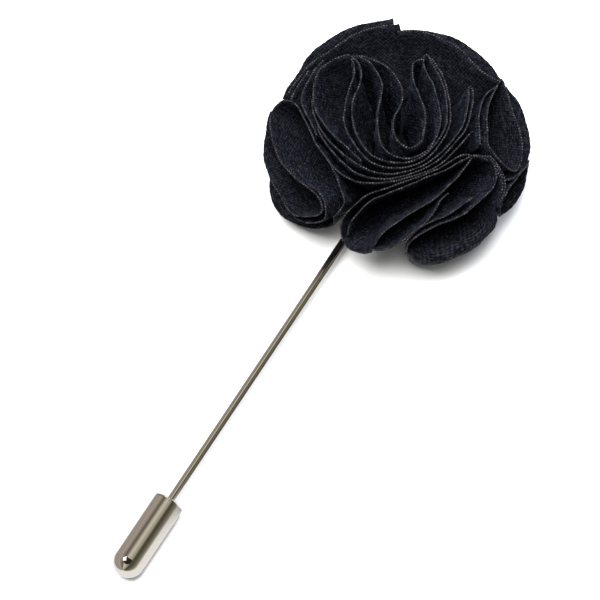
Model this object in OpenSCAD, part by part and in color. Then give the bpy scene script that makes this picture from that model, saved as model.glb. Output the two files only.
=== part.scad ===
/* [Needle] */
// Radius of the needle's straight shaft
needle_r = 0.6; // [0.45:0.05:0.7]
// Length of the straight shaft, from the pad's edge to the mouth of the cap
shaft_l = 61.5; // [45:0.5:75]
// Length of the slow taper that the cap grips
grip_l = 6; // [4:0.5:7]
// Length of the sharpened point
point_l = 5; // [3:0.5:6]
// Radius where the grip ends and the point starts
grip_end_r = 0.44; // [0.3:0.01:0.5]
// Radius left at the very tip
tip_r = 0.06; // [0.04:0.01:0.1]

/* [Pad] */
// Radius of the flat pad under the flower
pad_r = 7; // [6:0.5:9]
// Thickness of the pad
pad_t = 0.9; // [0.8:0.05:1.2]
// How far the pad is sunk into the top of the needle, where it is soldered
solder_sink = 0.1; // [0.05:0.05:0.3]
// Radius of the solder sleeve round the needle under the pad
sleeve_r = 0.9; // [0.8:0.05:1]

/* [End cap] */
// Outer radius of the cap
cap_r = 2.5; // [2:0.1:3]
// Length of the cap over all, with its round tip
cap_l = 14; // [14:0.5:18]
// Radius of the rounded shoulder at the cap's mouth
shoulder_r = 0.5; // [0.3:0.05:0.8]
// Radial clearance of the needle in the cap
cap_clear = 0.05; // [0.02:0.01:0.1]
// Free depth of the bore past the needle's tip
bore_spare = 0.5; // [0.3:0.1:1]

/* [Flower] */
// Radius of the flower, out to its rolled lips
flower_r = 21.4; // [18:0.2:24]
// Height of the flower above the surface it lies on
flower_h = 20; // [17:0.5:23]
// Thickness of the folded cloth at its rim
cloth_t = 1; // [1:0.05:1.1]
// Radius of the round cloth backing
backing_r = 13; // [12:0.5:14]
// Thickness of the backing
backing_t = 1; // [0.8:0.1:1.4]
// Gap between the pad, the backing and the sewn roots of the cloth
seat_gap = 0.1; // [0.05:0.05:0.2]

/* [Folds] */
// Where a standing fold is sewn down, as a share of its rim's reach
root_share = 0.54; // [0.5:0.01:0.56]
// Where a rolled lip is sewn down, as a share of the backing's radius
lip_root_share = 0.95; // [0.9:0.01:1]
// How much of the rim's thickness is left where the cloth is sewn down
root_pinch = 0.5; // [0.4:0.05:0.6]
// How far a standing fold swells outwards between its root and its rim
belly = 0.8; // [0:0.1:1]
// How far a rolled lip runs out from its root before it rises
lip_run = 4.5; // [3:0.5:6]
// How far a rolled lip rises from its root on that run
lip_climb = 2; // [1:0.5:4]
// How far a rolled lip bows out past its hanging rim
lip_bow = 7; // [6:0.25:9]
// How far a rolled lip arches up above its hanging rim
lip_arch = 15; // [12:0.5:17]

/* [Hidden] */
$fn = 64;

point_end_l = grip_l + point_l;
bore_l = point_end_l + bore_spare;
pad_z = needle_r - solder_sink;
backing_z = pad_z + pad_t + seat_gap;
table_z = -cap_r;
seam_lift = root_pinch * cloth_t / 2;
root_z = backing_z + backing_t + seat_gap + seam_lift;

// Steps of the smooth curve between two rows of a table
row_steps = 2;
// Levels from root to rim of a standing fold and of a rolled lip
standing_levels = 3;
lip_levels = 7;

// Columns of every table below, a row for each turn of the rim seen from above:
// bearing in degrees about the flower's middle, reach as a share of the flower's radius,
// rise as a share of the flower's height, and lip, 0 where the cloth stands and 1 where it rolls over
centre_fold_rim = [
    [152, 0.62, 0.87, 0], [146, 0.56, 0.90, 0], [137, 0.43, 0.93, 0], [129, 0.28, 0.96, 0],
    [122, 0.13, 0.97, 0], [170, 0.04, 0.97, 0], [250, 0.08, 0.97, 0], [284, 0.16, 0.97, 0],
    [304, 0.22, 0.97, 0], [325, 0.23, 0.96, 0], [348, 0.20, 0.97, 0], [6, 0.17, 0.97, 0],
    [37, 0.15, 0.97, 0], [66, 0.17, 0.97, 0], [88, 0.22, 0.96, 0], [103, 0.32, 0.95, 0], [111, 0.44, 0.93, 0]
];
middle_ruffle_rim = [
    [155, 0.52, 0.91, 0], [150, 0.42, 0.93, 0], [154, 0.29, 0.95, 0], [176, 0.20, 0.97, 0],
    [210, 0.19, 0.97, 0], [241, 0.21, 0.97, 0], [268, 0.25, 0.96, 0], [290, 0.29, 0.96, 0],
    [312, 0.31, 0.96, 0], [334, 0.30, 0.96, 0], [355, 0.28, 0.96, 0], [20, 0.26, 0.96, 0],
    [43, 0.26, 0.95, 0], [63, 0.29, 0.95, 0], [81, 0.35, 0.94, 0], [92, 0.42, 0.93, 0],
    [98, 0.50, 0.92, 0], [96, 0.54, 0.92, 0], [91, 0.53, 0.92, 0], [80, 0.46, 0.93, 0],
    [66, 0.40, 0.94, 0], [48, 0.36, 0.95, 0], [26, 0.34, 0.95, 0], [5, 0.345, 0.95, 0],
    [345, 0.36, 0.95, 0], [325, 0.38, 0.94, 0], [305, 0.40, 0.94, 0], [285, 0.41, 0.94, 0],
    [265, 0.42, 0.94, 0], [245, 0.42, 0.94, 0], [225, 0.42, 0.94, 0], [205, 0.42, 0.94, 0],
    [186, 0.44, 0.93, 0], [171, 0.48, 0.92, 0], [162, 0.54, 0.90, 0], [158, 0.60, 0.88, 0]
];
outer_ruffle_rim = [
    [159, 0.70, 0.82, 0], [168, 0.71, 0.81, 0], [180, 0.70, 0.82, 0], [192, 0.66, 0.84, 0],
    [205, 0.60, 0.88, 0], [218, 0.56, 0.89, 0], [231, 0.53, 0.90, 0], [246, 0.51, 0.91, 0],
    [260, 0.50, 0.92, 0], [275, 0.49, 0.92, 0], [290, 0.48, 0.92, 0], [305, 0.465, 0.93, 0],
    [320, 0.45, 0.93, 0], [335, 0.44, 0.93, 0], [350, 0.43, 0.93, 0], [5, 0.43, 0.93, 0],
    [20, 0.44, 0.93, 0], [35, 0.48, 0.92, 0], [48, 0.53, 0.91, 0], [60, 0.58, 0.89, 0]
];
lower_ruffle_rim = [
    [174, 0.785, 0.77, 0], [185, 0.775, 0.78, 0], [197, 0.745, 0.80, 0], [208, 0.70, 0.83, 0],
    [219, 0.65, 0.86, 0], [231, 0.615, 0.88, 0], [244, 0.595, 0.88, 0], [258, 0.575, 0.89, 0],
    [271, 0.565, 0.90, 0], [284, 0.555, 0.90, 0], [295, 0.54, 0.91, 0]
];
back_left_rim = [
    [126, 0.84, 0.74, 0], [136, 0.83, 0.75, 0], [148, 0.83, 0.75, 0], [160, 0.85, 0.74, 0],
    [172, 0.865, 0.72, 0], [181, 0.87, 0.71, 0], [187, 0.88, 0.69, 0], [187, 0.95, 0.58, 0.2],
    [178, 0.975, 0.51, 0.2], [170, 0.965, 0.52, 0.2], [158, 0.95, 0.54, 0.3], [146, 0.95, 0.56, 0.2],
    [135, 0.95, 0.57, 0.2], [126, 0.96, 0.57, 0.2]
];
back_right_rim = [
    [121, 0.76, 0.80, 0], [111, 0.78, 0.79, 0], [100, 0.78, 0.79, 0], [88, 0.78, 0.79, 0],
    [76, 0.78, 0.79, 0], [67, 0.79, 0.78, 0], [61, 0.82, 0.76, 0], [61, 0.88, 0.70, 0.1],
    [67, 0.92, 0.62, 0.3], [78, 0.93, 0.56, 0.4], [90, 0.92, 0.56, 0.4], [102, 0.91, 0.60, 0.3],
    [112, 0.89, 0.64, 0.2], [120, 0.87, 0.68, 0.1]
];
left_petal_rim = [
    [196, 0.90, 0.68, 0], [201, 0.84, 0.74, 0], [209, 0.78, 0.79, 0], [218, 0.735, 0.82, 0],
    [228, 0.70, 0.85, 0], [238, 0.68, 0.86, 0], [247, 0.665, 0.86, 0], [255, 0.67, 0.85, 0],
    [261, 0.695, 0.83, 0], [263.5, 0.74, 0.81, 0], [261, 0.785, 0.78, 0], [255, 0.80, 0.77, 0],
    [247, 0.805, 0.76, 0], [238, 0.83, 0.73, 0], [229, 0.86, 0.70, 0], [222, 0.89, 0.66, 0]
];
left_lip_rim = [
    [222, 0.86, 0.20, 0.9], [217, 0.86, 0.08, 1], [211, 0.86, 0.015, 1], [205, 0.86, 0.03, 1],
    [200, 0.86, 0.10, 1], [196, 0.86, 0.22, 0.9]
];
left_lower_rim = [
    [230, 0.95, 0.63, 0], [235, 0.935, 0.65, 0], [241, 0.92, 0.66, 0], [248, 0.90, 0.68, 0],
    [256, 0.885, 0.69, 0], [263, 0.88, 0.69, 0], [267, 0.90, 0.67, 0]
];
left_lower_lip_rim = [
    [265, 0.87, 0.22, 0.9], [260, 0.86, 0.08, 1], [253, 0.86, 0.015, 1], [245, 0.86, 0.015, 1],
    [237, 0.86, 0.015, 1], [231, 0.86, 0.08, 1], [226, 0.86, 0.20, 0.9]
];
front_left_rim = [
    [275, 0.90, 0.67, 0], [276, 0.82, 0.74, 0], [279, 0.74, 0.80, 0], [285, 0.67, 0.85, 0],
    [293, 0.62, 0.88, 0], [303, 0.58, 0.89, 0], [314, 0.55, 0.90, 0], [326, 0.53, 0.91, 0],
    [338, 0.53, 0.91, 0], [348, 0.53, 0.91, 0], [356, 0.545, 0.90, 0], [2, 0.59, 0.89, 0],
    [357, 0.635, 0.87, 0], [346, 0.635, 0.87, 0], [336, 0.64, 0.87, 0], [327, 0.66, 0.86, 0],
    [318, 0.68, 0.85, 0], [309, 0.70, 0.84, 0], [302, 0.74, 0.81, 0], [297, 0.79, 0.77, 0],
    [293, 0.85, 0.72, 0], [291, 0.90, 0.67, 0]
];
front_left_lip_rim = [
    [290, 0.87, 0.32, 0.85], [285, 0.87, 0.28, 0.9], [280, 0.87, 0.28, 0.9], [276, 0.88, 0.32, 0.85]
];
front_middle_rim = [
    [338, 0.715, 0.82, 0], [330, 0.735, 0.82, 0], [322, 0.755, 0.80, 0], [314, 0.78, 0.78, 0],
    [307, 0.82, 0.75, 0], [301, 0.87, 0.70, 0], [297, 0.93, 0.60, 0.1]
];
front_right_rim = [
    [306, 0.95, 0.60, 0], [308, 0.90, 0.67, 0], [314, 0.87, 0.71, 0], [323, 0.86, 0.73, 0],
    [332, 0.86, 0.73, 0], [341, 0.855, 0.73, 0], [349, 0.83, 0.75, 0], [355, 0.79, 0.78, 0],
    [359, 0.74, 0.81, 0], [4, 0.70, 0.83, 0], [8, 0.72, 0.82, 0], [6, 0.785, 0.78, 0],
    [3, 0.83, 0.74, 0], [359, 0.88, 0.68, 0]
];
front_right_lip_rim = [
    [354, 0.87, 0.20, 0.9], [349, 0.86, 0.08, 1], [342, 0.86, 0.015, 1], [333, 0.86, 0.015, 1],
    [324, 0.86, 0.015, 1], [315, 0.86, 0.015, 1], [309, 0.86, 0.08, 1], [305, 0.86, 0.18, 0.9]
];
right_petal_rim = [
    [55, 0.84, 0.73, 0], [54, 0.77, 0.79, 0], [49, 0.71, 0.83, 0], [42, 0.67, 0.86, 0],
    [34, 0.65, 0.87, 0], [26, 0.65, 0.87, 0], [19, 0.67, 0.86, 0], [15, 0.72, 0.83, 0],
    [14, 0.79, 0.78, 0], [14, 0.86, 0.71, 0], [16, 0.92, 0.64, 0]
];
right_lip_rim = [
    [16, 0.87, 0.22, 0.9], [21, 0.86, 0.08, 1], [28, 0.86, 0.02, 1], [37, 0.86, 0.02, 1],
    [46, 0.86, 0.08, 1], [53, 0.87, 0.22, 0.9]
];
right_lower_rim = [
    [11, 0.94, 0.62, 0], [9, 0.93, 0.635, 0], [5, 0.93, 0.64, 0], [2, 0.95, 0.62, 0]
];
right_lower_lip_rim = [
    [359, 0.86, 0.10, 0.95], [3, 0.86, 0.06, 1], [7, 0.86, 0.06, 1], [11, 0.86, 0.10, 0.95]
];

function flower_height(rise) = table_z + rise * flower_h;

// A table's row as a point of the rim about the flower's middle, with its lip share
function rim_knot(row) = [
    flower_r * row[1] * cos(row[0]), flower_r * row[1] * sin(row[0]), flower_height(row[2]), row[3]
];

function blend(p0, p1, p2, p3, t) = 0.5 * (
    2 * p1 + (p2 - p0) * t + (2 * p0 - 5 * p1 + 4 * p2 - p3) * t ^ 2 + (3 * p1 - p0 - 3 * p2 + p3) * t ^ 3
);

// Knot i of a list that runs straight on past its ends
function knot(knots, i) =
    let (last = len(knots) - 1)
    i < 0 ? 2 * knots[0] - knots[1]
    : i > last ? 2 * knots[last] - knots[last - 1]
    : knots[i];

// The smooth rim through a table's rows
function rim_curve(rows) =
    let (knots = [for (row = rows) rim_knot(row)], last = len(rows) - 1)
    [
        for (i = [0 : last - 1], s = [0 : row_steps - 1])
            blend(knot(knots, i - 1), knot(knots, i), knot(knots, i + 1), knot(knots, i + 2), s / row_steps),
        knots[last]
    ];

// A point of the cloth, at share s of the way from its root on the backing to the rim
function cloth_point(rim, s) =
    let (
        reach = norm([rim.x, rim.y]),
        out = [rim.x / reach, rim.y / reach, 0],
        top = [rim.x, rim.y, rim.z],
        lip = min(1, max(0, rim[3])),
        root_reach = (1 - lip) * root_share * reach + lip * lip_root_share * backing_r,
        root = out * root_reach + [0, 0, root_z],
        low = root + (1 - lip) * (top - root) / 3 + lip * (out * lip_run + [0, 0, lip_climb]),
        high = top + (1 - lip) * (root - top) / 3 + lip * (out * lip_bow + [0, 0, lip_arch])
    )
    root * (1 - s) ^ 3 + 3 * low * s * (1 - s) ^ 2 + 3 * high * s ^ 2 * (1 - s) + top * s ^ 3
    + out * belly * (1 - lip) * sin(180 * s);

function unit(v) = v / norm(v);

// One sheet of cloth as a closed wall: its middle surface, moved out to both faces along its normals
module cloth(rows, levels) {
    rim = rim_curve(rows);
    last = len(rim) - 1;
    grid = [for (i = [0 : last]) [for (j = [0 : levels]) cloth_point(rim[i], j / levels)]];
    function normal(i, j) = unit(cross(
        grid[min(i + 1, last)][j] - grid[max(i - 1, 0)][j],
        grid[i][min(j + 1, levels)] - grid[i][max(j - 1, 0)]
    ));
    function half_wall(j) = cloth_t / 2 * (root_pinch + (1 - root_pinch) * j / levels);
    function face(side) = [for (i = [0 : last], j = [0 : levels]) grid[i][j] + side * half_wall(j) * normal(i, j)];
    row = levels + 1;
    count = (last + 1) * row;
    function at(side, i, j) = side * count + i * row + j;
    quads = [
        for (i = [0 : last - 1], j = [0 : levels - 1])
            [at(0, i, j), at(0, i, j + 1), at(0, i + 1, j + 1), at(0, i + 1, j)],
        for (i = [0 : last - 1], j = [0 : levels - 1])
            [at(1, i, j), at(1, i + 1, j), at(1, i + 1, j + 1), at(1, i, j + 1)],
        for (i = [0 : last - 1]) [at(0, i, levels), at(1, i, levels), at(1, i + 1, levels), at(0, i + 1, levels)],
        for (i = [0 : last - 1]) [at(0, i, 0), at(0, i + 1, 0), at(1, i + 1, 0), at(1, i, 0)],
        for (j = [0 : levels - 1]) [at(0, 0, j), at(1, 0, j), at(1, 0, j + 1), at(0, 0, j + 1)],
        for (j = [0 : levels - 1]) [at(0, last, j), at(0, last, j + 1), at(1, last, j + 1), at(1, last, j)]
    ];
    triangles = [for (q = quads) for (t = [[q[0], q[1], q[2]], [q[0], q[2], q[3]]]) t];
    color("#1d2030") translate([0, pad_r, 0])
        polyhedron(points = concat(face(1), face(-1)), faces = triangles, convexity = 10);
}

// Turns a shape that stands on +Z so that it points along -Y, towards the needle's tip
module along_needle() rotate([90, 0, 0]) children();

module pin() {
    color("silver") {
        along_needle() cylinder(r = needle_r, h = shaft_l);
        along_needle() translate([0, 0, shaft_l]) cylinder(r1 = needle_r, r2 = grip_end_r, h = grip_l);
        along_needle() translate([0, 0, shaft_l + grip_l]) cylinder(r1 = grip_end_r, r2 = tip_r, h = point_l);
        along_needle() translate([0, 0, -pad_r]) cylinder(r = sleeve_r, h = pad_r);
        translate([0, pad_r, pad_z]) cylinder(r = pad_r, h = pad_t);
    }
}

module end_cap() {
    color("silver") along_needle() translate([0, 0, shaft_l]) difference() {
        union() {
            translate([0, 0, shoulder_r]) cylinder(r = cap_r, h = cap_l - cap_r - shoulder_r);
            cylinder(r = cap_r - shoulder_r, h = cap_l - cap_r);
            translate([0, 0, shoulder_r]) rotate_extrude() translate([cap_r - shoulder_r, 0]) circle(r = shoulder_r);
            translate([0, 0, cap_l - cap_r]) sphere(r = cap_r);
        }
        translate([0, 0, -shoulder_r]) cylinder(r = needle_r + cap_clear, h = bore_l + shoulder_r);
    }
}

module backing() {
    color("#20222c") translate([0, pad_r, backing_z]) cylinder(r = backing_r, h = backing_t);
}

module centre_fold() cloth(centre_fold_rim, standing_levels);
module middle_ruffle() cloth(middle_ruffle_rim, standing_levels);
module outer_ruffle() cloth(outer_ruffle_rim, standing_levels);
module lower_ruffle() cloth(lower_ruffle_rim, standing_levels);
module back_left_petal() cloth(back_left_rim, standing_levels);
module back_right_petal() cloth(back_right_rim, standing_levels);
module left_petal() cloth(left_petal_rim, standing_levels);
module left_lip() cloth(left_lip_rim, lip_levels);
module left_lower_petal() cloth(left_lower_rim, standing_levels);
module left_lower_lip() cloth(left_lower_lip_rim, lip_levels);
module front_left_petal() cloth(front_left_rim, standing_levels);
module front_left_lip() cloth(front_left_lip_rim, lip_levels);
module front_middle_fold() cloth(front_middle_rim, standing_levels);
module front_right_petal() cloth(front_right_rim, standing_levels);
module front_right_lip() cloth(front_right_lip_rim, lip_levels);
module right_petal() cloth(right_petal_rim, standing_levels);
module right_lip() cloth(right_lip_rim, lip_levels);
module right_lower_petal() cloth(right_lower_rim, standing_levels);
module right_lower_lip() cloth(right_lower_lip_rim, lip_levels);

pin();
end_cap();
backing();
centre_fold();
middle_ruffle();
outer_ruffle();
lower_ruffle();
back_left_petal();
back_right_petal();
left_petal();
left_lip();
left_lower_petal();
left_lower_lip();
front_left_petal();
front_left_lip();
front_middle_fold();
front_right_petal();
front_right_lip();
right_petal();
right_lip();
right_lower_petal();
right_lower_lip();
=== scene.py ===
import math

import bpy
import numpy as np
from mathutils import Matrix, Vector


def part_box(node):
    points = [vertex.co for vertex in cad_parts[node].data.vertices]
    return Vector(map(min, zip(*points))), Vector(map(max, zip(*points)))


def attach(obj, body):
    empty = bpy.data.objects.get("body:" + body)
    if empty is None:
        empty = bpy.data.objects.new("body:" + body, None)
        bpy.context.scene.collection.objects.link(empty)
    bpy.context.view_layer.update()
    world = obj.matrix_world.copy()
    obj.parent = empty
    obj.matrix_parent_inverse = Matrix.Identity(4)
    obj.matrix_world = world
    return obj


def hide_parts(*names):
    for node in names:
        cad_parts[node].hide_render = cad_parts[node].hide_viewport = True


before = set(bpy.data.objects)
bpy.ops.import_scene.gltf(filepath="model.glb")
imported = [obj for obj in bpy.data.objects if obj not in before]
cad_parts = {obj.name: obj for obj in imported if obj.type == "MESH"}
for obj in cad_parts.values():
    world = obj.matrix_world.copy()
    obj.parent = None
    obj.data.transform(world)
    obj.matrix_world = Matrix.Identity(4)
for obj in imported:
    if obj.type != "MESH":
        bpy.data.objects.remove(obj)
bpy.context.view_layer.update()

MM = 0.001


# Sizes that follow the frame

CAP_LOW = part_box("end_cap")[0]
BACKING_LOW, BACKING_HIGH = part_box("backing")
TABLE_Z = CAP_LOW.z
MIDDLE = np.array([(BACKING_LOW.x + BACKING_HIGH.x) / 2, (BACKING_LOW.y + BACKING_HIGH.y) / 2, 0.0])
BACKING_R = (BACKING_HIGH.x - BACKING_LOW.x) / 2


# Sizes of the flower, those of the construction. Only EQUATOR_H, the height at which the dome is widest,
# isn't used there, because its tables give the height in every row.

FLOWER_R = 21.4 * MM
FLOWER_H = 20 * MM
EQUATOR_H = 9 * MM
# Height of the sewn roots over the backing
ROOT_LIFT = 0.35 * MM
ROOT_SHARE = 0.54
LIP_ROOT_SHARE = 0.95
BELLY = 0.8 * MM
LIP_RUN = 4.5 * MM
LIP_CLIMB = 2 * MM
LIP_BOW = 7 * MM
LIP_ARCH = 15 * MM
ROOT_Z = BACKING_HIGH.z + ROOT_LIFT


# Sizes of the cloth

PLY_T = 0.22 * MM
# Radius of the flat rounds that the plies are cut from
CUT_R = 25 * MM
# Threads of such a cloth are taken to lie about 0.2 mm apart, too fine for the picture, so they are drawn
# coarser
THREAD_PITCH = 0.3 * MM
# Distance over which a thread wanders sideways by up to its own width
THREAD_WANDER = 1.5 * MM
# A fleck's length along the rim and its width down from it
FLECK = (0.5 * MM, 0.24 * MM)
# Bare thread ends along a cut edge, drawn coarser for the same reason
BEAD_PITCH = 0.45 * MM
# How far the bare thread ends reach down from the cut edge: by chance, with this spread, less this
FRAY = 0.24 * MM
FRAY_LESS = 0.06 * MM
# Length along the edge over which the bare ends grow longer or shorter
FRAY_SIZE = 0.35 * MM
# How far the threads stand out
THREAD_RELIEF = 0.08 * MM
# Share of the flower's height below which the cut edge hangs out of sight, and above which it shows pale
PALE_RISE = (0.4, 0.46)
# Shift of each next ply's weave on the flat cloth and of its beads along the edge, so that no two match
WEAVE_SHIFT = 7.3 * MM
BEAD_SHIFT = 11 * MM
# Small slow swells for x, y and z: (share of SWAY, turns in radians per millimetre along x, y and z, start)
SWAY = 0.09 * MM
SWELLS = [
    [(1, (0, 0.9, 0.7), 0), (1, (0.47, 0, -1.3), 1)],
    [(1, (0.8, 0, -0.6), 2), (1, (0, 0.53, 1.2), 0)],
    [(0.6, (0.7, 0.9, 0), 0), (0.5, (1.1, -0.8, 0), 0.5)],
]
# Puckers of the cut edge: how far in and out, and the length in millimetres and start of each sine
CRIMP = 0.02 * MM
PUCKERS = [(0.83, 0), (1.27, 1), (2.9, 2)]
BACKING_T = 0.6 * MM
RIPPLE = 0.12 * MM
RIPPLES = 6


# Fineness of the meshes. A rim takes the finer levels from the root to the edge where its lip passes
# ROLLED_LIP, and it is first drawn with KNOT_STEPS points from one knot to the next.

RIM_STEP = 0.25 * MM
FEWEST_STEPS = 8
KNOT_STEPS = 16
STANDING_LEVELS = 14
LIP_LEVELS = 26
ROLLED_LIP = 0.5
RINGS = 12
SPOKES = 96


# Tables of the rims. A standing rim's row is (bearing in degrees about the flower's middle, reach as a
# share of the flower's radius), and it ends on the dome. A row of a rim that rolls over adds
# (rise as a share of the flower's height, lip, 0 where the cloth stands and 1 where it rolls over).

CENTRE_FOLD = [
    (158, 0.64), (152, 0.60), (146, 0.54), (139, 0.46), (132, 0.36), (123, 0.22), (122, 0.12),
    (170, 0.04), (240, 0.06), (276, 0.14), (296, 0.22), (313, 0.27), (333, 0.26), (352, 0.21), (12, 0.18),
    (42, 0.17), (70, 0.19), (88, 0.23), (102, 0.29), (109, 0.38), (110, 0.46), (103, 0.51),
]
MIDDLE_RUFFLE_FIRST = [
    (153, 0.59), (149, 0.53), (148, 0.45), (149, 0.36), (154, 0.28), (170, 0.215), (198, 0.18),
    (224, 0.19), (247, 0.22), (268, 0.27), (286, 0.32), (304, 0.345), (323, 0.335), (341, 0.325),
    (1, 0.30), (22, 0.28), (42, 0.28), (60, 0.30), (78, 0.35), (91, 0.395), (100, 0.46), (103, 0.53),
    (101, 0.56), (98.5, 0.545), (93, 0.50), (86, 0.46), (77, 0.42), (65, 0.385), (50, 0.35), (34, 0.33),
    (15, 0.325), (355, 0.33), (335, 0.34), (316, 0.36), (300, 0.38), (283, 0.385), (265, 0.38),
    (246, 0.37), (228, 0.365), (210, 0.37), (194, 0.38), (181, 0.385), (170, 0.415), (162, 0.47),
    (158, 0.53), (157, 0.58), (158, 0.62),
]
MIDDLE_RUFFLE_SECOND = [
    (159, 0.63), (161, 0.57), (165, 0.52), (172, 0.475), (182, 0.445), (196, 0.43), (214, 0.43),
    (232, 0.42), (250, 0.42), (268, 0.43), (284, 0.43), (298, 0.42), (312, 0.40), (326, 0.38),
    (340, 0.365), (357, 0.355), (15, 0.35), (32, 0.355), (47, 0.37), (60, 0.39), (73, 0.43), (84, 0.48),
    (92, 0.52), (97, 0.55),
]
LEFT_LEAF = [
    (158, 0.66), (160, 0.69), (165, 0.725), (171, 0.74), (177, 0.745), (184, 0.73), (191, 0.705),
    (198, 0.675), (206, 0.635), (214, 0.585), (222, 0.545), (231, 0.51), (240, 0.485), (250, 0.47),
    (262, 0.465),
]
OUTER_RUFFLE = [
    (197, 0.69), (206, 0.66), (216, 0.62), (226, 0.58), (236, 0.55), (247, 0.525), (258, 0.505),
    (270, 0.49), (282, 0.48), (294, 0.465), (306, 0.44), (318, 0.42), (330, 0.405), (343, 0.40),
    (356, 0.41), (8, 0.42), (20, 0.44), (31, 0.47), (42, 0.50), (51, 0.53), (59, 0.56), (60.5, 0.58),
    (57, 0.585), (49, 0.56), (40, 0.53), (30, 0.50), (20, 0.475), (8, 0.45), (354, 0.435), (340, 0.43),
    (326, 0.435), (312, 0.455), (298, 0.485), (287, 0.51), (276, 0.53), (265, 0.55), (253, 0.56),
    (241, 0.575), (228, 0.60), (218, 0.63),
]
LOWER_RUFFLE = [
    (234, 0.64), (243, 0.63), (252, 0.625), (261, 0.61), (270, 0.59), (279, 0.56), (288, 0.53),
    (298, 0.505), (309, 0.48), (320, 0.47), (332, 0.465), (344, 0.465), (356, 0.475), (7, 0.49),
    (17, 0.51),
]
LEAF_BACK_PLY = [
    (168, 0.79), (177, 0.785), (186, 0.785), (193, 0.78), (200, 0.755), (207, 0.71), (214, 0.67),
    (222, 0.645),
]
BACK_LEFT_OUTER = [
    (124.5, 0.975, 0.59, 0.2), (131, 0.97, 0.59, 0.2), (138, 0.95, 0.62, 0.2), (146, 0.94, 0.64, 0.2),
    (155, 0.94, 0.64, 0.2), (164, 0.935, 0.65, 0.2), (172, 0.92, 0.67, 0.1), (180, 0.905, 0.69, 0.1),
    (188, 0.91, 0.68, 0.1), (195, 0.92, 0.67, 0.2),
]
BACK_LEFT_INNER = [
    (121.5, 0.86), (127, 0.86), (134, 0.85), (141, 0.835), (149, 0.825), (157, 0.82), (165, 0.83),
    (172, 0.85), (179, 0.87), (187, 0.88), (194, 0.89),
]
BACK_LEFT_THIRD = [
    (178, 0.83), (184, 0.84), (190, 0.845), (196, 0.85),
]
BACK_RIGHT_INNER = [
    (122.8, 0.765), (118.5, 0.775), (114, 0.785), (107, 0.79), (98, 0.785), (89, 0.77), (81, 0.75),
    (73, 0.745), (66, 0.76), (61, 0.795), (59, 0.83), (60, 0.86),
]
BACK_RIGHT_OUTER = [
    (123, 0.86, 0.60, 0.2), (116, 0.875, 0.59, 0.2), (109, 0.90, 0.57, 0.2), (101, 0.91, 0.56, 0.2),
    (93, 0.92, 0.56, 0.2), (85, 0.92, 0.56, 0.2), (77, 0.91, 0.56, 0.2), (70, 0.90, 0.57, 0.2),
    (64, 0.89, 0.59, 0.1), (60, 0.88, 0.66, 0),
]
LEFT_PETAL = [
    (267, 0.87, 0.70, 0), (268, 0.835, 0.75, 0), (268, 0.79, 0.79, 0), (267, 0.755, 0.81, 0),
    (263, 0.71, 0.84, 0), (258, 0.67, 0.86, 0), (251, 0.64, 0.87, 0), (244, 0.63, 0.88, 0),
    (234, 0.64, 0.87, 0), (225, 0.665, 0.86, 0), (217, 0.69, 0.85, 0), (208, 0.735, 0.82, 0),
    (201, 0.785, 0.79, 0), (198, 0.825, 0.76, 0), (196.5, 0.87, 0.73, 0), (196, 0.92, 0.67, 0),
    (198, 0.965, 0.60, 0), (202, 0.98, 0.57, 0), (209, 0.97, 0.57, 0), (218, 0.95, 0.62, 0),
    (226, 0.925, 0.65, 0), (232, 0.90, 0.69, 0), (239, 0.875, 0.71, 0), (245, 0.855, 0.74, 0),
    (251, 0.84, 0.75, 0), (256, 0.84, 0.75, 0), (259.5, 0.86, 0.73, 0), (260.5, 0.88, 0.71, 0),
    (260, 0.91, 0.68, 0), (257.5, 0.94, 0.63, 0), (254, 0.965, 0.57, 0), (250, 0.99, 0.50, 0),
    (246, 1.0, 0.46, 0), (242, 1.0, 0.45, 0), (237, 1.0, 0.45, 0), (231, 1.01, 0.45, 0),
    (226, 1.01, 0.44, 0), (220, 1.02, 0.42, 0), (213, 1.02, 0.40, 0), (206, 1.02, 0.40, 0),
    (200, 1.02, 0.40, 0), (196, 1.01, 0.41, 0),
]
LEFT_LOWER = [
    (267, 0.87, 0.68, 0), (266.5, 0.875, 0.58, 0), (264.5, 0.87, 0.46, 0.05), (261, 0.885, 0.36, 0.1),
    (256, 0.92, 0.29, 0.1), (251, 0.955, 0.25, 0.1), (246, 0.99, 0.23, 0.1), (240, 1.02, 0.22, 0.1),
    (233, 1.03, 0.24, 0.1), (227, 1.02, 0.28, 0.1), (222, 1.0, 0.33, 0),
]
LEFT_LOWER_SECOND = [
    (246, 0.83, 0.73, 0), (252, 0.815, 0.76, 0), (257, 0.82, 0.765, 0), (260.5, 0.845, 0.75, 0),
    (262.5, 0.87, 0.725, 0), (263.5, 0.90, 0.69, 0), (262.5, 0.93, 0.64, 0), (260, 0.945, 0.58, 0),
    (257, 0.96, 0.53, 0), (253, 0.98, 0.47, 0), (249, 0.99, 0.43, 0),
]
FRONT_LEFT_INNER = [
    (278, 0.935, 0.56, 0), (275.5, 0.955, 0.585, 0), (273.5, 0.945, 0.61, 0), (272, 0.90), (272, 0.82),
    (273, 0.76), (276, 0.69), (280, 0.635), (286, 0.59), (293, 0.55), (302, 0.515), (312, 0.495),
    (323, 0.485), (334, 0.485), (345, 0.495), (354, 0.52), (0, 0.56), (3, 0.61),
]
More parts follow.
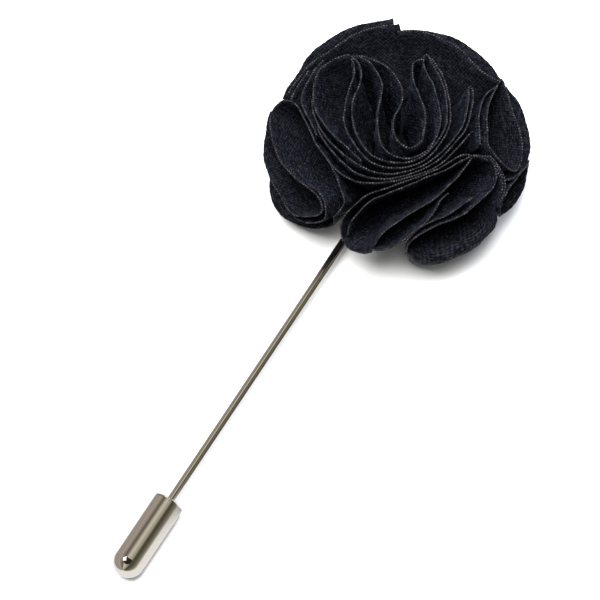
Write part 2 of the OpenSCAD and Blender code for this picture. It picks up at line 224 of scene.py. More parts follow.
FRONT_LEFT = [
    (276, 0.91, 0.68, 0), (276, 0.86, 0.73, 0), (277, 0.80, 0.78, 0), (279, 0.73, 0.83, 0),
    (283, 0.67, 0.865, 0), (289, 0.62, 0.89, 0), (296, 0.575, 0.905, 0), (304, 0.545, 0.915, 0),
    (314, 0.52, 0.92, 0), (325, 0.51, 0.92, 0), (336, 0.52, 0.92, 0), (346, 0.535, 0.92, 0),
    (354, 0.56, 0.91, 0), (1, 0.595, 0.895, 0), (1, 0.605, 0.89, 0), (356, 0.60, 0.89, 0),
    (350, 0.60, 0.89, 0), (343, 0.61, 0.885, 0), (335, 0.63, 0.88, 0), (327, 0.655, 0.87, 0),
    (321, 0.67, 0.86, 0), (315, 0.69, 0.85, 0), (309, 0.72, 0.835, 0), (303, 0.755, 0.81, 0),
    (297, 0.80, 0.78, 0), (293, 0.845, 0.745, 0), (291, 0.885, 0.70, 0), (289.5, 0.92, 0.62, 0.15),
    (288, 0.925, 0.50, 0.4), (285.5, 0.90, 0.36, 0.72), (282, 0.875, 0.27, 0.9), (278, 0.875, 0.30, 0.88),
    (275.5, 0.90, 0.45, 0.6), (275.5, 0.92, 0.60, 0.2),
]
FRONT_MIDDLE = [
    (332, 0.67), (328, 0.68), (325, 0.69), (322, 0.72), (318, 0.76), (314, 0.80), (310, 0.825),
    (306, 0.85), (304, 0.875), (301, 0.905), (297, 0.935), (292, 0.957), (288, 0.962),
]
FRONT_RIGHT_INNER = [
    (304.5, 0.94), (304, 0.90), (306, 0.865), (309, 0.835), (314, 0.81), (320, 0.795), (326, 0.79),
    (333, 0.78), (339, 0.785), (344, 0.79),
]
FRONT_RIGHT = [
    (304.8, 0.94, 0.64, 0), (305, 0.92, 0.67, 0), (307, 0.89, 0.70, 0), (309, 0.87, 0.72, 0),
    (314, 0.85, 0.74, 0), (320, 0.835, 0.755, 0), (328, 0.835, 0.755, 0), (336, 0.835, 0.755, 0),
    (344, 0.835, 0.755, 0), (351, 0.835, 0.755, 0), (356, 0.83, 0.76, 0), (0, 0.82, 0.77, 0),
    (3, 0.80, 0.78, 0), (6, 0.77, 0.80, 0), (7.5, 0.735, 0.825, 0), (8, 0.69, 0.85, 0),
    (6, 0.64, 0.875, 0), (3, 0.61, 0.89, 0), (6, 0.65, 0.87, 0), (9, 0.70, 0.85, 0), (8.5, 0.74, 0.82, 0),
    (7, 0.78, 0.795, 0), (5, 0.815, 0.77, 0), (2, 0.855, 0.735, 0), (358, 0.885, 0.70, 0.05),
    (354.5, 0.90, 0.62, 0.2), (352, 0.90, 0.48, 0.45), (349, 0.885, 0.28, 0.75), (345, 0.87, 0.10, 0.95),
    (338, 0.86, 0.02, 1), (329, 0.865, 0.015, 1), (321, 0.86, 0.015, 1), (314, 0.84, 0.02, 1),
    (309, 0.835, 0.08, 0.95), (305.5, 0.86, 0.28, 0.75), (304, 0.90, 0.46, 0.4), (304, 0.935, 0.57, 0.15),
]
FRONT_RIGHT_END = [
    (3, 0.60), (5, 0.63), (6, 0.66), (6.5, 0.70),
]
RIGHT_PETAL_INNER = [
    (55, 0.75), (52, 0.68), (47, 0.63), (40, 0.595), (32, 0.575), (24, 0.575), (17, 0.59), (12, 0.61),
]
RIGHT_PETAL = [
    (60, 0.86, 0.73, 0), (59, 0.84, 0.75, 0), (57, 0.80, 0.78, 0), (54, 0.76, 0.81, 0),
    (47, 0.685, 0.85, 0), (36, 0.64, 0.875, 0), (25, 0.635, 0.88, 0), (16, 0.655, 0.865, 0),
    (13, 0.70, 0.845, 0), (10.5, 0.78, 0.79, 0), (9.5, 0.85, 0.74, 0), (10.5, 0.90, 0.69, 0),
    (13, 0.92, 0.66, 0), (17, 0.925, 0.655, 0), (22, 0.915, 0.67, 0), (29, 0.895, 0.695, 0),
    (35, 0.865, 0.725, 0), (41, 0.845, 0.74, 0), (48, 0.845, 0.74, 0), (54, 0.855, 0.73, 0),
    (58, 0.865, 0.72, 0),
]
RIGHT_BAND = [
    (63, 0.88, 0.62, 0), (61, 0.92, 0.52, 0.05), (57, 0.955, 0.44, 0.1), (50, 0.98, 0.40, 0.1),
    (40, 0.98, 0.40, 0.1), (30, 0.98, 0.40, 0.1), (23, 0.97, 0.42, 0.1), (19, 0.97, 0.50, 0.05),
    (15, 0.96, 0.59, 0), (10, 0.935, 0.64, 0), (6, 0.90, 0.68, 0), (4, 0.875, 0.715, 0),
    (3, 0.83, 0.76, 0), (5, 0.79, 0.785, 0),
]
RIGHT_LOWER_INNER = [
    (9, 0.73), (8, 0.77), (6, 0.82), (3, 0.87), (359, 0.90), (355, 0.925), (352.5, 0.95),
]
RIGHT_LOWER = [
    (23.5, 0.975, 0.38, 0), (19.5, 0.98, 0.50, 0), (16.5, 0.975, 0.575, 0), (9, 0.94, 0.64, 0),
    (4, 0.92, 0.665, 0), (0, 0.915, 0.67, 0), (356, 0.93, 0.65, 0), (353.5, 0.95, 0.61, 0),
    (352, 0.96, 0.54, 0.1), (353, 0.945, 0.43, 0.1), (357, 0.945, 0.35, 0.1), (3, 0.975, 0.33, 0.1),
    (10, 0.99, 0.34, 0.1), (18, 0.985, 0.36, 0.1), (25, 0.99, 0.38, 0.1),
]

# Piece, then the nodes it stands for, its plies as (table, True where the rim closes on itself),
# and the strip of cloth it is made of before it is gathered: its depth and the length of its free edge,
# in millimetres, and its area in square millimetres, with the sewn edge cut shorter than the free one
PETALS = {
    "centre_fold_plies": (["centre_fold"], [(CENTRE_FOLD, False)], (14, 42), 520),
    "middle_ruffle_plies": (
        ["middle_ruffle"], [(MIDDLE_RUFFLE_FIRST, False), (MIDDLE_RUFFLE_SECOND, False)], (14, 142), 1720
    ),
    "outer_ruffle_plies": (["outer_ruffle"], [(LEFT_LEAF, False), (OUTER_RUFFLE, False)], (14, 108), 1250),
    "lower_ruffle_plies": (
        ["lower_ruffle"], [(LOWER_RUFFLE, False), (LEAF_BACK_PLY, False)], (14, 44), 510
    ),
    "back_left_plies": (
        ["back_left_petal"],
        [(BACK_LEFT_OUTER, False), (BACK_LEFT_INNER, False), (BACK_LEFT_THIRD, False)], (13, 54), 540
    ),
    "back_right_plies": (
        ["back_right_petal"], [(BACK_RIGHT_INNER, False), (BACK_RIGHT_OUTER, False)], (13, 43), 410
    ),
    "left_petal_plies": (["left_petal", "left_lip"], [(LEFT_PETAL, False)], (14, 78), 720),
    "left_lower_plies": (
        ["left_lower_petal", "left_lower_lip"], [(LEFT_LOWER, False), (LEFT_LOWER_SECOND, False)],
        (12, 37), 280
    ),
    "front_left_plies": (
        ["front_left_petal", "front_left_lip"], [(FRONT_LEFT_INNER, False), (FRONT_LEFT, True)],
        (16, 90), 860
    ),
    "front_middle_plies": (["front_middle_fold"], [(FRONT_MIDDLE, False)], (14, 16), 155),
    "front_right_plies": (
        ["front_right_petal", "front_right_lip"],
        [(FRONT_RIGHT_INNER, False), (FRONT_RIGHT, True), (FRONT_RIGHT_END, False)], (16, 90), 840
    ),
    "right_petal_plies": (
        ["right_petal", "right_lip"],
        [(RIGHT_PETAL_INNER, False), (RIGHT_PETAL, True), (RIGHT_BAND, False)], (14, 78), 730
    ),
    "right_lower_plies": (
        ["right_lower_petal", "right_lower_lip"], [(RIGHT_LOWER_INNER, False), (RIGHT_LOWER, False)],
        (12, 36), 280
    ),
}


# Shapes of the cloth

def dome_rise(reach):
    """Height of the dome as a share of the flower's: an upright ellipse over the equator."""
    return (EQUATOR_H + (FLOWER_H - EQUATOR_H) * np.sqrt(np.maximum(0, 1 - reach**2))) / FLOWER_H


def rim_knots(rows):
    """Table rows as an array of x, y, z about the flower's middle, and lip."""
    full = [(*row, dome_rise(row[1]), 0) if len(row) == 2 else row for row in rows]
    bearing, reach, rise, lip = np.array(full, float).T
    turn = np.radians(bearing)
    return np.stack([
        FLOWER_R * reach * np.cos(turn), FLOWER_R * reach * np.sin(turn), TABLE_Z + rise * FLOWER_H, lip
    ], axis=1)


def smooth_line(knots, closed, step):
    """Cubic through the knots (Catmull-Rom), laid out again at equal lengths of about one step.
    Returns its points and the length along it at each."""
    if closed:
        padded = np.concatenate([knots[-1:], knots, knots[:2]])
    else:
        padded = np.concatenate([2 * knots[:1] - knots[1:2], knots, 2 * knots[-1:] - knots[-2:-1]])
    p0, p1, p2, p3 = (padded[i:len(padded) - 3 + i, None] for i in range(4))
    t = np.linspace(0, 1, KNOT_STEPS, endpoint=False)[None, :, None]
    fine = 0.5 * (
        2 * p1 + (p2 - p0) * t + (2 * p0 - 5 * p1 + 4 * p2 - p3) * t**2 + (3 * p1 - p0 - 3 * p2 + p3) * t**3
    )
    fine = np.concatenate([fine.reshape(-1, knots.shape[1]), p2[-1]])
    run = np.concatenate([[0], np.cumsum(np.linalg.norm(np.diff(fine[:, :3], axis=0), axis=1))])
    along = np.linspace(0, run[-1], max(FEWEST_STEPS, round(run[-1] / step)) + 1)
    return np.stack([np.interp(along, run, column) for column in fine.T], axis=1), along


def drape(rim, levels):
    """The cloth between its root on the backing and its rim: a cubic (Bezier) for each point of the rim.
    It stands nearly straight where lip is 0, and runs out, arches up and hangs down where lip is 1.
    Where it stands it bellies outwards by BELLY times the sine over its height."""
    reach = np.linalg.norm(rim[:, :2], axis=1, keepdims=True)
    out = np.concatenate([rim[:, :2] / reach, np.zeros_like(reach)], axis=1)
    lip = np.clip(rim[:, 3:4], 0, 1)
    up = np.array([[0.0, 0.0, 1.0]])
    top = rim[:, :3]
    root = out * ((1 - lip) * ROOT_SHARE * reach + lip * LIP_ROOT_SHARE * BACKING_R) + up * ROOT_Z
    low = root + (1 - lip) * (top - root) / 3 + lip * (out * LIP_RUN + up * LIP_CLIMB)
    high = top + (1 - lip) * (root - top) / 3 + lip * (out * LIP_BOW + up * LIP_ARCH)
    s = np.linspace(0, 1, levels + 1)[None, :, None]
    root, low, high, top, out, lip = (a[:, None] for a in (root, low, high, top, out, lip))
    return (
        root * (1 - s) ** 3 + 3 * low * s * (1 - s) ** 2 + 3 * high * s**2 * (1 - s) + top * s**3
        + out * BELLY * (1 - lip) * np.sin(math.pi * s)
    )


def sway(points):
    """The points moved by the swells of the cloth, which are the same for all plies at a place: along each
    axis by up to 0.18 mm, the sum of that axis's sines of a slant through x, y and z."""
    return points + SWAY * np.stack([
        sum(share * np.sin(points / MM @ np.array(slant) + start) for share, slant, start in sines)
        for sines in SWELLS
    ], axis=-1)


def crimp(along):
    """How far the cloth's edge puckers in and out along its length: three sines whose lengths share no
    short multiple, so that no two puckers look alike."""
    return CRIMP * sum(np.sin(2 * math.pi * along / (length * MM) + start) for length, start in PUCKERS)


def ply_arrays(rows, closed):
    """One ply of cloth as a closed wall: its middle surface moved half its thickness to both faces.
    Returns the points, how pale the cut edge shows at each, the four-cornered faces, and for each face
    corner the place on the flat round that the ply was cut from and (length along the cut edge,
    distance from it)."""
    rim, along = smooth_line(rim_knots(rows), closed, RIM_STEP)
    levels = LIP_LEVELS if rim[:, 3].max() > ROLLED_LIP else STANDING_LEVELS
    grid = sway(drape(rim, levels))
    outward = grid[:, -1:] * (1, 1, 0)
    outward /= np.linalg.norm(outward, axis=2, keepdims=True)
    grid += crimp(along)[:, None, None] * np.linspace(0, 1, levels + 1)[None, :, None] * outward
    if closed:
        grid = grid[:-1]
        wrap = np.concatenate([grid[-1:], grid, grid[:1]])
        tangent = wrap[2:] - wrap[:-2]
    else:
        tangent = np.gradient(grid, axis=0)
    normal = np.cross(tangent, np.gradient(grid, axis=1))
    normal /= np.linalg.norm(normal, axis=2, keepdims=True)
    walls = [grid + side * PLY_T / 2 * normal for side in (1, -1)]
    points = np.concatenate([wall.reshape(-1, 3) for wall in walls]) + MIDDLE
    columns, row = grid.shape[:2]
    rise = (grid[:, -1, 2] - TABLE_Z) / FLOWER_H
    pale = np.clip((rise - PALE_RISE[0]) / (PALE_RISE[1] - PALE_RISE[0]), 0, 1)
    pale = np.tile(np.repeat(pale, row), 2)

    down = np.concatenate([
        np.cumsum(np.linalg.norm(np.diff(grid, axis=1), axis=2)[:, ::-1], axis=1)[:, ::-1],
        np.zeros((columns, 1)),
    ], axis=1)
    if closed:
        down = np.concatenate([down, down[:1]])
    turn = along[:, None] / CUT_R
    flat = np.stack([(CUT_R - down) * np.cos(turn), (CUT_R - down) * np.sin(turn)], axis=-1)
    edge = np.stack([np.broadcast_to(along[:, None], down.shape), down], axis=-1)

    def corner(side, i, j):
        """A wall's points at columns i and levels j: their numbers in the mesh, and i and j themselves."""
        i, j = np.broadcast_arrays(i, j)
        return side * columns * row + (i % columns) * row + j, i, j

    # Both walls, then the strips that close them along the cut edge and the root, and the two ends
    end, top = columns - 1, row - 1
    k, m = np.arange(columns if closed else end), np.arange(top)
    i, j = (a.ravel() for a in np.meshgrid(k, m, indexing="ij"))
    strips = [
        (corner(0, i, j), corner(0, i + 1, j), corner(0, i + 1, j + 1), corner(0, i, j + 1)),
        (corner(1, i, j), corner(1, i, j + 1), corner(1, i + 1, j + 1), corner(1, i + 1, j)),
        (corner(0, k, top), corner(0, k + 1, top), corner(1, k + 1, top), corner(1, k, top)),
        (corner(0, k, 0), corner(1, k, 0), corner(1, k + 1, 0), corner(0, k + 1, 0)),
    ]
    if not closed:
        strips += [
            (corner(0, 0, m), corner(0, 0, m + 1), corner(1, 0, m + 1), corner(1, 0, m)),
            (corner(0, end, m), corner(1, end, m), corner(1, end, m + 1), corner(0, end, m + 1)),
        ]
    faces = np.concatenate([np.stack([c[0] for c in strip], axis=1) for strip in strips])
    flats, edges = (
        np.concatenate([np.stack([place[c[1], c[2]] for c in strip], axis=1) for strip in strips])
        for place in (flat, edge)
    )
    return points, pale, faces, flats, edges


def cloth_object(name, points, faces, flat, edge):
    """A mesh in the scene with smooth faces, and its UV maps flat and edge in metres, one row a corner."""
    mesh = bpy.data.meshes.new(name)
    mesh.from_pydata(points, [], faces)
    for layer, places in (("flat", flat), ("edge", edge)):
        uv = mesh.uv_layers.new(name=layer)
        uv.uv.foreach_set("vector", places.astype(np.float32).ravel())
    mesh.polygons.foreach_set("use_smooth", np.ones(len(mesh.polygons), bool))
    mesh.update()
    piece = bpy.data.objects.new(name, mesh)
    bpy.context.scene.collection.objects.link(piece)
    return piece


def cloth_piece(name, plies):
    """All plies of one petal or ruffle as one mesh, with how pale its cut edge shows as an attribute."""
    points, pales, faces, flats, edges = [], [], [], [], []
    for number, (rows, closed) in enumerate(plies):
        ply_points, pale, ply_faces, flat, edge = ply_arrays(rows, closed)
        faces.append(ply_faces + sum(len(p) for p in points))
        points.append(ply_points)
        pales.append(pale)
        flats.append(flat + WEAVE_SHIFT * number)
        edges.append(edge + np.array([BEAD_SHIFT * number, 0]))
    piece = cloth_object(name, *(np.concatenate(a) for a in (points, faces, flats, edges)))
    pale = piece.data.attributes.new("pale", "FLOAT", "POINT")
    pale.data.foreach_set("value", np.concatenate(pales))
    return piece


def backing_disc():
    """The round cloth that the petals are sewn to: a flat round wall whose middle surface ripples up and
    down a little towards its edge, by RIPPLE times the cube of the radius's share, RIPPLES waves round.
    Rings of points go from the middle of the upper face, round the edge, to the middle of the lower."""
    turn = np.linspace(0, 2 * math.pi, SPOKES, endpoint=False)
    radius = np.linspace(0, BACKING_R, RINGS + 1)[1:, None]
    middle_z = (BACKING_LOW.z + BACKING_HIGH.z) / 2
    wavy_z = middle_z + RIPPLE * (radius / BACKING_R)**3 * np.sin(RIPPLES * turn)
    upper, lower = (
        np.stack([radius * np.cos(turn), radius * np.sin(turn), wavy_z + side * BACKING_T / 2], axis=-1)
        for side in (1, -1)
    )
    rings = np.concatenate([upper, lower[::-1]]).reshape(-1, 3)
    poles = [(0, 0, middle_z + side * BACKING_T / 2) for side in (1, -1)]
    around_middle = np.concatenate([rings, poles])

    here = np.arange(SPOKES)
    after = np.roll(here, -1)
    start = SPOKES * np.arange(2 * RINGS - 1)[:, None]
    last = SPOKES * (2 * RINGS - 1)
    top_pole, low_pole = np.full(SPOKES, len(rings)), np.full(SPOKES, len(rings) + 1)
    faces = [
        np.stack([top_pole, here, after], axis=-1),
        np.stack([last + after, last + here, low_pole], axis=-1),
        np.stack([start + here, start + SPOKES + here, start + SPOKES + after, start + after], axis=-1),
    ]
    flat = around_middle[np.concatenate([part.ravel() for part in faces]), :2]
    edge = np.stack([
        np.arctan2(flat[:, 1], flat[:, 0]) * BACKING_R, BACKING_R - np.linalg.norm(flat, axis=1)
    ], axis=1)
    caps_and_rings = [*faces[0].tolist(), *faces[1].tolist(), *faces[2].reshape(-1, 4).tolist()]
    return cloth_object("backing_disc", around_middle + MIDDLE, caps_and_rings, flat, edge)


# Materials

def linear(hex_colour):
    """An sRGB hex colour as linear RGBA."""
    parts = [int(hex_colour[i:i + 2], 16) / 255 for i in (1, 3, 5)]
    return tuple(c / 12.92 if c <= 0.04045 else ((c + 0.055) / 1.055) ** 2.4 for c in parts) + (1.0,)


def add_node(tree, kind, inputs=None, **settings):
    """Adds a node, with its settings, and its inputs set to values or linked to outputs."""
    made = tree.nodes.new(kind)
    for key, value in settings.items():
        setattr(made, key, value)
    for key, value in (inputs or {}).items():
        if isinstance(value, bpy.types.NodeSocket):
            tree.links.new(value, made.inputs[key])
        else:
            made.inputs[key].default_value = value
    return made


def maths(tree, operation, a, b=0.0, c=0.0):
    """The output of a maths node."""
    return add_node(tree, "ShaderNodeMath", {0: a, 1: b, 2: c}, operation=operation).outputs[0]


def mixed(tree, factor, a, b):
    """The output of a colour mix."""
    return add_node(
        tree, "ShaderNodeMix", {"Factor": factor, "A": a, "B": b}, data_type="RGBA"
    ).outputs["Result"]


def noise(tree, place, size, detail):
    """A noise from 0 to 1 whose features are about size across, in metres."""
    return add_node(
        tree, "ShaderNodeTexNoise", {"Vector": place, "Scale": 1 / size, "Detail": detail}
    ).outputs["Fac"]


def ramped(tree, value, source, target):
    """The value taken smoothly from the source range, a pair, to the target range, and held at its ends."""
    return add_node(tree, "ShaderNodeMapRange", {
        "Value": value, "From Min": source[0], "From Max": source[1],
        "To Min": target[0], "To Max": target[1],
    }, interpolation_type="SMOOTHSTEP").outputs[0]


def between(tree, value, rise, fall):
    """1 where the value lies between the ranges rise and fall, and smoothly 0 below and above them."""
    return maths(tree, "MULTIPLY", ramped(tree, value, rise, (0, 1)), ramped(tree, value, fall, (1, 0)))


def new_material(name):
    """An empty material and its tree."""
    material = bpy.data.materials.new(name)
    material.use_nodes = True
    material.node_tree.nodes.clear()
    return material, material.node_tree


# Tones of the cloth as (slope, start): a thread on top over the product of the two waves of threads, the
# weave over that, and a fleck over the square of its chance. FLOAT_TONE is the least tone of one crossing.
TOP_THREAD = (1.1, 0.55)
WEAVE_TONE = (1.2, 0.2)
FLECK_TONE = (1.8, 0.27)
FLOAT_TONE = 0.35
# How strongly the beads of the cut edge swing, the size of their brighter patches, and over which bead
# values a painted highlight, a glint laid into their colour, comes in
BEAD_SWING = 0.4
BEAD_PATCH = 1.2 * MM
BEAD_PAINTED_GLINT = (0.74, 0.98)
# Grain of the polish: its size across, its stretch along the needle as a scale, and its depth
GRAIN = 0.5 * MM
GRAIN_STRETCH = 0.12
GRAIN_RELIEF = 0.01 * MM


def navy_plain_weave():
    """Matt polyester plain weave, dyed a navy that is nearly black. Threads that lie on top are a little
    lighter, and along a cut edge the bare thread ends make a thin grey beaded line, with a painted
    highlight on its brightest beads."""
    material, tree = new_material("navy_plain_weave")
    flat = add_node(tree, "ShaderNodeUVMap", uv_map="flat").outputs["UV"]
    edge = add_node(tree, "ShaderNodeUVMap", uv_map="edge").outputs["UV"]
    wander = add_node(
        tree, "ShaderNodeTexNoise", {"Vector": flat, "Scale": 1 / THREAD_WANDER, "Detail": 1.0}
    ).outputs["Color"]
    threads = add_node(
        tree, "ShaderNodeVectorMath", {0: flat, 1: (1 / THREAD_PITCH,) * 3, 2: wander},
        operation="MULTIPLY_ADD"
    ).outputs[0]
    axes = add_node(tree, "ShaderNodeSeparateXYZ", {0: threads})
    warp, weft = (maths(tree, "SINE", maths(tree, "MULTIPLY", axes.outputs[i], math.pi)) for i in (0, 1))
    crossed = maths(tree, "MULTIPLY", warp, weft)
    over = maths(tree, "MULTIPLY_ADD", crossed, *TOP_THREAD)
    over = maths(tree, "MINIMUM", maths(tree, "MAXIMUM", over, 0.0), 1.0)
    ridge = maths(tree, "SQRT", maths(tree, "ABSOLUTE", crossed))
    crossing = add_node(tree, "ShaderNodeVectorMath", {0: threads}, operation="FLOOR").outputs[0]
    float_shade = add_node(tree, "ShaderNodeTexWhiteNoise", {"Vector": crossing}).outputs["Value"]

    # Flecks are groups of threads that catch the light: dashes in rows along the rim, drawn as coarse
    # as a standing ply needs to show them
    along, down = add_node(tree, "ShaderNodeSeparateXYZ", {0: edge}).outputs[:2]
    bend = add_node(tree, "ShaderNodeSeparateXYZ", {0: wander})
    row = maths(tree, "FLOOR", maths(tree, "MULTIPLY_ADD", down, 1 / FLECK[1], bend.outputs[0]))
    shift = add_node(tree, "ShaderNodeTexWhiteNoise", {"W": row}, noise_dimensions="1D").outputs["Value"]
    shift = maths(tree, "ADD", shift, bend.outputs[1])
    dash = maths(tree, "MULTIPLY_ADD", along, 1 / FLECK[0], shift)
    cell = add_node(tree, "ShaderNodeCombineXYZ", {0: maths(tree, "FLOOR", dash), 1: row}).outputs[0]
    fleck = add_node(
        tree, "ShaderNodeTexWhiteNoise", {"Vector": cell}, noise_dimensions="2D"
    ).outputs["Value"]
    fleck = maths(tree, "MULTIPLY_ADD", maths(tree, "POWER", fleck, 2.0), *FLECK_TONE)
    fleck = maths(tree, "MULTIPLY", fleck, maths(tree, "ADD", float_shade, FLOAT_TONE))
    tone = maths(tree, "MULTIPLY", maths(tree, "MULTIPLY_ADD", over, *WEAVE_TONE), fleck)
    dyed = mixed(tree, tone, linear("#040405"), linear("#17181e"))

    fray = maths(tree, "MULTIPLY_ADD", noise(tree, edge, FRAY_SIZE, 2.0), FRAY, -FRAY_LESS)
    shown = add_node(tree, "ShaderNodeAttribute", attribute_name="pale").outputs["Fac"]
    pale = maths(tree, "MULTIPLY", maths(tree, "LESS_THAN", down, fray), shown)
    bead = maths(tree, "SINE", maths(tree, "MULTIPLY", along, 2 * math.pi / BEAD_PITCH))
    bead = maths(tree, "MULTIPLY_ADD", bead, BEAD_SWING, noise(tree, edge, BEAD_PATCH, 3.0))
    ends = mixed(tree, bead, linear("#070708"), linear("#18171a"))
    # Painted highlight: the brightest beads are lightened towards a pale grey that stands for glints of
    # light on the thread ends
    glint = ramped(tree, bead, BEAD_PAINTED_GLINT, (0, 1))
    ends = mixed(tree, glint, ends, linear("#4e4c4f"))
    bump = add_node(
        tree, "ShaderNodeBump", {"Strength": 0.7, "Distance": THREAD_RELIEF, "Height": ridge}
    ).outputs["Normal"]
    cloth = add_node(tree, "ShaderNodeBsdfPrincipled", {
        "Base Color": mixed(tree, pale, dyed, ends), "Roughness": 0.55,
        "Specular IOR Level": maths(tree, "MULTIPLY", tone, 0.08),
        "Normal": bump, "Sheen Weight": ramped(tree, tone, (0.8, 2.0), (0.005, 0.16)),
        "Sheen Roughness": 0.3, "Sheen Tint": linear("#b4c3ea"),
    })
    add_node(tree, "ShaderNodeOutputMaterial", {"Surface": cloth.outputs[0]})
    return material


def polished_nickel():
    """Bright nickel plate on steel and brass: a warm grey mirror with a faint drawn grain."""
    material, tree = new_material("polished_nickel_plate")
    place = add_node(tree, "ShaderNodeTexCoord").outputs["Object"]
    drawn = add_node(
        tree, "ShaderNodeMapping", {"Vector": place, "Scale": (1, GRAIN_STRETCH, 1)}
    ).outputs[0]
    grain = noise(tree, drawn, GRAIN, 3.0)
    rough = add_node(
        tree, "ShaderNodeMapRange", {"Value": grain, "To Min": 0.04, "To Max": 0.1}
    ).outputs[0]
    bump = add_node(
        tree, "ShaderNodeBump", {"Strength": 0.1, "Distance": GRAIN_RELIEF, "Height": grain}
    ).outputs["Normal"]
    metal = add_node(tree, "ShaderNodeBsdfPrincipled", {
        "Base Color": linear("#e3ded6"), "Metallic": 1.0, "Roughness": rough, "Normal": bump,
    })
    add_node(tree, "ShaderNodeOutputMaterial", {"Surface": metal.outputs[0]})
    return material


def white_card():
    """Matt white card under the pin."""
    material, tree = new_material("matt_white_card")
    card = add_node(tree, "ShaderNodeBsdfPrincipled", {
        "Base Color": linear("#c8c8c7"), "Roughness": 0.9, "Specular IOR Level": 0.2,
    })
    add_node(tree, "ShaderNodeOutputMaterial", {"Surface": card.outputs[0]})
    return material


# Pieces

CLOTH = navy_plain_weave()
NICKEL = polished_nickel()


def finish_cloth(piece, nodes):
    """Gives a cloth piece its material and body, and hides the nodes that it stands for."""
    piece.data.materials.append(CLOTH)
    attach(piece, "root")
    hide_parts(*nodes)


backing = backing_disc()
finish_cloth(
    backing, ["backing"]
)
for piece_name, (nodes, plies, (depth, length), area) in PETALS.items():
    finish_cloth(
        cloth_piece(piece_name, plies), nodes,
    )
for node_name in ("pin", "end_cap"):
    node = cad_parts[node_name]
    node.data.materials.clear()
    node.data.materials.append(NICKEL)


# Stage

# Half the width of the white card
FLOOR_HALF = 0.6


def make_floor():
    """A white card that fills the view. Polished metal mirrors the room in its place."""
    corners = [(-1, -1), (1, -1), (1, 1), (-1, 1)]
    mesh = bpy.data.meshes.new("floor")
    mesh.from_pydata([(FLOOR_HALF * x, FLOOR_HALF * y, TABLE_Z) for x, y in corners], [], [(0, 1, 2, 3)])
    floor = bpy.data.objects.new("floor", mesh)
    floor.data.materials.append(white_card())
    floor.visible_glossy = False
    bpy.context.scene.collection.objects.link(floor)


make_floor()

# Camera at the photograph's angle. The frame is FRAME_PX wide, and a pixel is MM_PER_PX at the aim.
AZIMUTH = math.radians(32)
ELEVATION = math.radians(69)
DISTANCE = 420 * MM
AIM = Vector((-0.54 * MM, -22.4 * MM, 0))
FRAME_PX = 600
MM_PER_PX = 0.160
SENSOR = 36

AHEAD = Vector((-math.sin(AZIMUTH), math.cos(AZIMUTH), 0))
RIGHT = Vector((math.cos(AZIMUTH), math.sin(AZIMUTH), 0))
LOOK = AHEAD * math.cos(ELEVATION) - Vector((0, 0, 1)) * math.sin(ELEVATION)
UP = AHEAD * math.sin(ELEVATION) + Vector((0, 0, 1)) * math.cos(ELEVATION)

camera_data = bpy.data.cameras.new("camera")
camera_data.sensor_width = SENSOR
camera_data.lens = DISTANCE / (MM_PER_PX * MM * FRAME_PX) * SENSOR
camera_data.clip_start = 0.01
camera = bpy.data.objects.new("camera", camera_data)
camera.matrix_world = Matrix((
    (RIGHT.x, UP.x, -LOOK.x, AIM.x - LOOK.x * DISTANCE),
    (RIGHT.y, UP.y, -LOOK.y, AIM.y - LOOK.y * DISTANCE),
    (RIGHT.z, UP.z, -LOOK.z, AIM.z - LOOK.z * DISTANCE),
    (0, 0, 0, 1),
))
bpy.context.scene.collection.objects.link(camera)
bpy.context.scene.camera = camera


def soft_light(name, place, size, power, colour, mirrored):
    """A square soft box turned to the pin. Where mirrored is False it lights, but no metal mirrors it."""
    light = bpy.data.lights.new(name, "AREA")
    light.size = size
    light.energy = power
    light.color = linear(colour)[:3]
    box = bpy.data.objects.new(name, light)
    box.location = place
    box.rotation_euler = (-Vector(place)).to_track_quat("-Z", "Y").to_euler()
    box.visible_glossy = mirrored
    bpy.context.scene.collection.objects.link(box)


def around(right, ahead, up):
    """A place from the middle of the object, in metres to the camera's right, ahead of it and up."""
    return RIGHT * right + AHEAD * ahead + Vector((0, 0, up))


soft_light("key", around(-0.1, 0.04, 0.65), 0.45, 19.0, "#ffffff", False)
soft_light("back", around(0.3, 0.42, 0.4), 0.35, 4.0, "#e4eaff", False)
soft_light("tip_glint", Vector((-0.27, -0.163, 0.528)), 0.25, 0.35, "#ffffff", True)
soft_light("mouth_glint", Vector((-0.216, 0.425, 0.276)), 0.2, 0.25, "#ffffff", True)

# What polished metal mirrors, by the angle from straight up towards +X: a dim room with two pale walls
SURROUNDINGS = [
    (-180, "#ffffff"), (-128, "#ffffff"), (-118, "#a39a93"), (-61, "#b1a89f"), (-49, "#9c938a"),
    (-37, "#6b635c"), (-25, "#847d74"), (-14, "#c6c2b4"), (-3, "#d9d6c8"), (8, "#b8b4a4"), (18, "#b0ac9b"),
    (30, "#5c584a"), (40, "#4b483e"), (64, "#787464"), (75, "#a09c8f"), (89, "#ffffff"),
]

# Dark things that it mirrors too. Each pair is a range over which one rises to full or falls to nothing,
# measured on the direction's x or y, for the camera also on how near the direction is to OVERHEAD, and
# for the floor on the angle's share of a full turn.
# The dark camera overhead
OVERHEAD = (-0.05, -0.1, 0.99)
OVERHEAD_NEAR = (0.82, 0.88)
OVERHEAD_FALL_Y = (0.1, 0.16)
OVERHEAD_TONE = "#2e2b26"
# The dark end of the room
ROOM_END_RISE_Y = (0.312, 0.318)
ROOM_END_FALL_Y = (0.38, 0.42)
ROOM_END_FALL_X = (0.4, 0.6)
ROOM_END_TONE = "#17171b"
# The shaded floor that the bare needle mirrors along its right edge, between the cap and the flower
SHADED_RISE_Y = (0.211, 0.221)
SHADED_FALL_Y = (0.345, 0.355)
SHADED_SHARE = (0.68, 0.72)
SHADED_TONE = "#5d5349"

# Strength of the even light from all round. It whitens the card, so that only close shadows show.
EVEN_LIGHT = 0.4


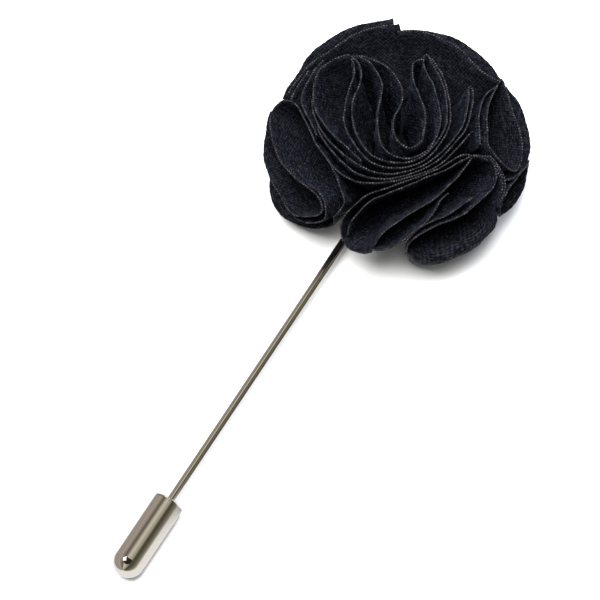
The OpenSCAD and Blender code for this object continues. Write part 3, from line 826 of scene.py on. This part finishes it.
def make_world():
    """Even pale light from all round, with SURROUNDINGS in its place for reflections only."""
    world = bpy.data.worlds.new("studio")
    world.use_nodes = True
    tree = world.node_tree
    tree.nodes.clear()
    direction = add_node(tree, "ShaderNodeTexCoord").outputs["Generated"]
    x, y, z = add_node(tree, "ShaderNodeSeparateXYZ", {0: direction}).outputs
    turn = maths(tree, "ARCTAN2", x, z)
    share = maths(tree, "MULTIPLY_ADD", turn, 0.5 / math.pi, 0.5)
    ramp = add_node(tree, "ShaderNodeValToRGB", {0: share})
    stops = ramp.color_ramp.elements
    while len(stops) < len(SURROUNDINGS):
        stops.new(0.5)
    for stop, (angle, colour) in zip(stops, SURROUNDINGS):
        stop.position = angle / 360 + 0.5
        stop.color = linear(colour)
    near_top = add_node(
        tree, "ShaderNodeVectorMath", {0: direction, 1: OVERHEAD}, operation="DOT_PRODUCT"
    ).outputs["Value"]
    overhead = maths(
        tree, "MULTIPLY", ramped(tree, near_top, OVERHEAD_NEAR, (0, 1)),
        ramped(tree, y, OVERHEAD_FALL_Y, (1, 0))
    )
    far = maths(
        tree, "MULTIPLY", between(tree, y, ROOM_END_RISE_Y, ROOM_END_FALL_Y),
        ramped(tree, x, ROOM_END_FALL_X, (1, 0))
    )
    shaded = maths(
        tree, "MULTIPLY", between(tree, y, SHADED_RISE_Y, SHADED_FALL_Y),
        ramped(tree, share, SHADED_SHARE, (0, 1))
    )
    room = mixed(tree, shaded, ramp.outputs[0], linear(SHADED_TONE))
    room = mixed(tree, overhead, room, linear(OVERHEAD_TONE))
    room = mixed(tree, far, room, linear(ROOM_END_TONE))
    rays = add_node(tree, "ShaderNodeLightPath")
    mirrored = rays.outputs["Is Glossy Ray"]
    seen = maths(tree, "MAXIMUM", mirrored, rays.outputs["Is Camera Ray"])
    background = add_node(tree, "ShaderNodeBackground", {
        "Color": mixed(tree, mirrored, linear("#f6f6f6"), room),
        "Strength": maths(tree, "MULTIPLY_ADD", seen, 1 - EVEN_LIGHT, EVEN_LIGHT),
    })
    add_node(tree, "ShaderNodeOutputWorld", {"Surface": background.outputs[0]})
    bpy.context.scene.world = world


make_world()
bpy.context.scene.view_settings.view_transform = "Standard"
